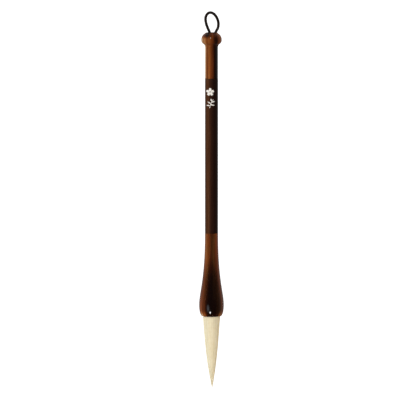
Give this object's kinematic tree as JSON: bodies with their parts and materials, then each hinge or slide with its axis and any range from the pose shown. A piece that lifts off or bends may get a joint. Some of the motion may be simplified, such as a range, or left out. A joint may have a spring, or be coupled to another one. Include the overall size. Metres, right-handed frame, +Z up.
{
  "type": "calligraphy brush",
  "caption": "Calligraphy brush hanging tuft down: cream hair tuft in a flared horn head, dark wood shaft with a white floral inlay, and a horn tail cap with a round knob and a cord loop.",
  "frame": {"origin": "the hang point: the inner top of the cord loop, on the handle's axis", "axes": "+Z up along the handle's axis, from the tuft's point to the loop; X lies in the plane of the loop; the inlaid face looks along -Y"},
  "size_m": [0.018, 0.018, 0.2727],
  "materials": {
    "horn": "polished horn with long streaks from amber to near black",
    "wood": "satin, fine straight grain, dark red-brown",
    "inlay": "matt white enamel filling",
    "cord": "waxed braided cord, very dark brown",
    "cover_hair": "fine cream hair, straight and soft",
    "core_hair": "fine stiffer hair, darker cream",
    "thread": "unbleached silk thread",
    "resin": "hard brown rosin",
    "glue": "hard amber glue"
  },
  "bodies": {
    "handle": {"head_ferrule": "horn", "handle_shaft": "wood", "tail_cap": "horn", "blossom_inlay": "inlay", "sprig_inlay": "inlay", "loop_knot": "cord", "root_cover_hair": "cover_hair", "root_core_hair": "core_hair", "binding_thread": "thread", "root_resin": "resin", "socket_glue": "glue"},
    "loop": {"hanging_loop": "cord"},
    "tuft_belly": {"belly_cover_hair": "cover_hair", "belly_core_hair": "core_hair"},
    "tuft_point": {"point_cover_hair": "cover_hair", "point_core_hair": "core_hair"}
  },
  "joints": [
    {"name": "loop_tilt", "type": "hinge", "parent": "handle", "child": "loop", "pos_m": [0, 0, -0.0119], "axis": [1, 0, 0], "range_deg": [-88, 88], "stiffness_Nm_per_rad": 0.0004},
    {"name": "belly_bend", "type": "hinge", "parent": "handle", "child": "tuft_belly", "pos_m": [0, 0, -0.2273], "axis": [1, 0, 0], "range_deg": [-35, 35], "stiffness_Nm_per_rad": 0.008},
    {"name": "point_bend", "type": "hinge", "parent": "tuft_belly", "child": "tuft_point", "pos_m": [0, 0, -0.2433], "axis": [0, 1, 0], "range_deg": [-55, 55], "stiffness_Nm_per_rad": 0.003}
  ]
}
